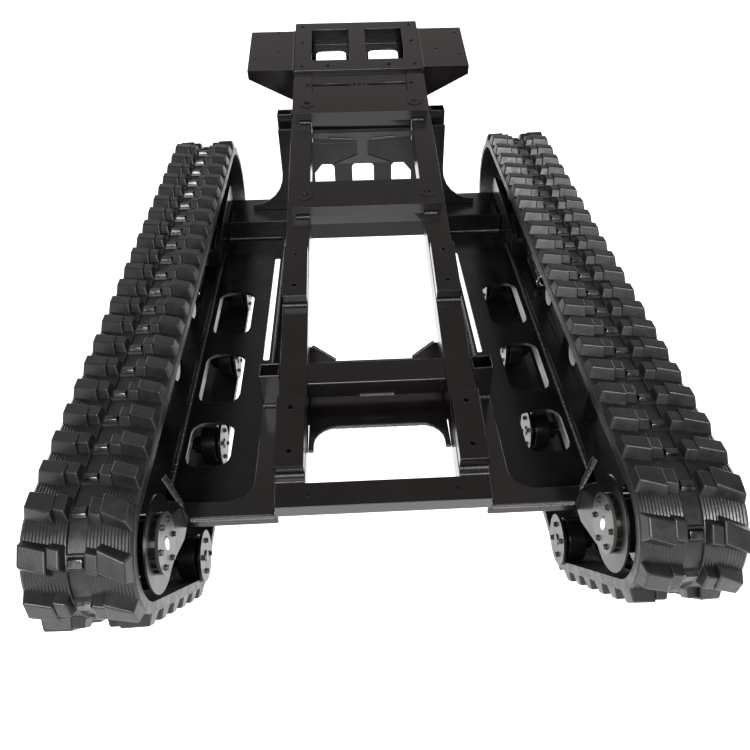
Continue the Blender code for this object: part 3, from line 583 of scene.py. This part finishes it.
def deck_beads(name, side):
    """The beads of one side of the deck, as (title, points, radius)."""
    across = {"outer": RAIL_OUT - 0.003, "inner": RAIL_IN + 0.003}
    beads = []
    for i, u in enumerate(PAD_US, 1):
        ends = [on_deck(side * across[end], u - 0.0035, 0.002) for end in ("inner", "outer")]
        beads.append((f"pad_weld_{name}_{i}", ends, 0.0045))
    for i, u in enumerate(RAISED_US, 1):
        ends = [on_deck(side * x, u - 0.004, 0.002) for x in (RAIL_IN + 0.003, 0.184)]
        beads.append((f"saddle_weld_{name}_{i}", ends, 0.0045))
    ends = [on_deck(side * across[end], 0.056, 0.0) for end in ("inner", "outer")]
    beads.append((f"rail_weld_{name}", ends, 0.003))
    ends = [on_deck(side * 0.2140, u, HEAD_TOP + 0.001) for u in (1.604, 1.858)]
    beads.append((f"wing_weld_{name}", ends, 0.003))
    return beads


def level_beads(name, side):
    """The beads of one side of the level lower frame, as (title, points, radius)."""
    lines = {
        "front_weld": ((0.216, NEAR_Y - 0.001, FRAME_TOP - 0.004),
                       (0.371, NEAR_Y - 0.001, FRAME_TOP - 0.004)),
        "far_beam_weld": ((0.262, FAR_BEAM_Y0 - 0.003, FLOOR_Z + 0.003),
                          (0.436, FAR_BEAM_Y0 - 0.003, FLOOR_Z + 0.003)),
        "brace_weld": ((0.398, -0.784, FRAME_TOP - 0.006), (0.444, -0.714, FRAME_TOP - 0.006)),
        "floor_edge_weld": ((0.444, NEAR_Y + 0.140, FLOOR_Z + 0.002), (0.444, 0.285, FLOOR_Z + 0.002)),
        "gusset_weld": ((0.096, BRIDGE_Y1 + 0.004, FRAME_TOP), (0.149, -0.293, FRAME_TOP)),
        "near_post_weld": ((POST_IN + 0.004, POST_YS[0] - 0.001, FRAME_TOP + 0.002),
                           (POST_IN + POST_SIZE - 0.004, POST_YS[0] - 0.001, FRAME_TOP + 0.002)),
        "far_post_weld": ((POST_IN + POST_SIZE + 0.001, POST_YS[1] + 0.004, FRAME_TOP + 0.002),
                          (POST_IN + POST_SIZE + 0.001, POST_YS[1] + 0.034, FRAME_TOP + 0.002)),
    }
    beads = []
    for title, ends in lines.items():
        beads.append((f"{title}_{name}", [Vector((side * x, y, z)) for x, y, z in ends], 0.0045))
    return beads


def all_welds():
    for name, side in SIDES:
        for title, points, radius in deck_beads(name, side) + level_beads(name, side):
            weld_bead(title, points, radius)
    weld_bead("centre_member_weld", [on_deck(-0.036, 0.299, -0.046), on_deck(0.036, 0.299, -0.046)], 0.0045)
    edge = [Vector((x, BRIDGE_Y0 - 0.001, FRAME_TOP - 0.002)) for x in (-0.092, 0.092)]
    weld_bead("bridge_weld", edge, 0.0045)


# ---- CAD nodes with rounded edges -----------------------------------------------------------------
DARK_NODES = ("floor_plate", "side_web", "track_frame", "far_beam", "head_upright", "drive_bracket",
              "bottom_roller")


def finish_nodes():
    """Every CAD node but the belts and drive motors, with rounded edges and its paint."""
    for node in frame["nodes"]:
        if node.startswith(("rubber_track", "drive_motor")):
            continue
        if node.startswith("track_tensioner"):
            look = BRIGHT_STEEL
        elif node.startswith(DARK_NODES):
            look = DARK_PAINT
        else:
            look = PAINT
        width = 0.0010 if node.startswith(("carrier", "bottom", "idler")) else 0.0026
        softened(node, look, width, 3)


# ---- studio ---------------------------------------------------------------------------------------
def area_light(name, place, target, size, watts, tint=(1, 1, 1)):
    light = bpy.data.lights.new(name, "AREA")
    light.shape = "RECTANGLE"
    light.size, light.size_y = size
    light.energy = watts
    light.color = tint
    lamp = bpy.data.objects.new(name, light)
    bpy.context.scene.collection.objects.link(lamp)
    lamp.location = place
    lamp.rotation_euler = (Vector(target) - Vector(place)).to_track_quat("-Z", "Y").to_euler()


def world_light():
    """A dim surround that brightens towards the horizon, slightly warm."""
    world = bpy.data.worlds.new("studio")
    world.use_nodes = True
    tree = world.node_tree
    place = tree.nodes.new("ShaderNodeTexCoord")
    parts = tree.nodes.new("ShaderNodeSeparateXYZ")
    ramp = tree.nodes.new("ShaderNodeValToRGB")
    low, high = ramp.color_ramp.elements
    low.position, low.color = 0.15, (0.72, 0.67, 0.66, 1)
    high.position, high.color = 0.90, (0.30, 0.275, 0.27, 1)
    tree.links.new(place.outputs["Generated"], parts.inputs["Vector"])
    tree.links.new(parts.outputs["Z"], ramp.inputs["Fac"])
    tree.links.new(ramp.outputs["Color"], tree.nodes["Background"].inputs["Color"])
    bpy.context.scene.world = world


def studio():
    world_light()
    shape = bmesh.new()
    bmesh.ops.create_grid(shape, x_segments=1, y_segments=1, size=30)
    mesh = bpy.data.meshes.new("floor")
    shape.to_mesh(mesh)
    shape.free()
    look, shader = new_material("pale_floor", 0.8)
    tone = ramp_of(look, noise_of(look, 3.0), [(0.3, (0.28, 0.28, 0.28)), (0.7, (0.32, 0.32, 0.32))])
    look.node_tree.links.new(tone, shader.inputs["Base Color"])
    shader.inputs["Emission Color"].default_value = (1, 1, 1, 1)
    shader.inputs["Emission Strength"].default_value = 1.6
    mesh.materials.append(look)
    floor = bpy.data.objects.new("floor", mesh)
    bpy.context.scene.collection.objects.link(floor)
    floor.location = (0, 0, -0.001)
    area_light("above_camera", (-0.3, -2.6, 2.3), (0, -0.3, 0.3), (1.6, 1.0), 115)
    area_light("far_left", (-3.2, 1.4, 0.9), (0, 0, 0.4), (2.2, 0.9), 22)
    area_light("far_right", (3.2, 1.4, 0.9), (0, 0, 0.4), (2.2, 0.9), 26)
    bpy.context.scene.view_settings.view_transform = "Standard"


def camera():
    """The photograph's viewpoint, at the drive end and looking down on the deck."""
    pitch, yaw, roll = math.radians(41.72), math.radians(2.30), math.radians(0.78)
    turn = Matrix.Rotation(-yaw, 3, "Z")
    right = turn @ Vector((1, 0, 0))
    down = turn @ Vector((0, -math.sin(pitch), -math.cos(pitch)))
    ahead = turn @ Vector((0, math.cos(pitch), -math.sin(pitch)))
    tilted_right = right * math.cos(roll) + down * math.sin(roll)
    tilted_down = down * math.cos(roll) - right * math.sin(roll)
    data = bpy.data.cameras.new("camera")
    data.lens, data.sensor_width = 34.06, 36.0
    data.shift_x, data.shift_y = -0.0093, 0.0367
    eye = bpy.data.objects.new("camera", data)
    bpy.context.scene.collection.objects.link(eye)
    axes = Matrix((tilted_right, -tilted_down, -ahead)).transposed()
    eye.matrix_world = Matrix.Translation((-0.037, -1.7105, 1.410)) @ axes.to_4x4()
    bpy.context.scene.camera = eye


finish_nodes()
for name, side in SIDES:
    build_track(name, side)
    drive_unit(name, side)
    roller_details(name, side)
    sprocket_details(name, side)
tab_plates()
hole_rims()
deck_fasteners()
upright_rib()
all_welds()
studio()
camera()
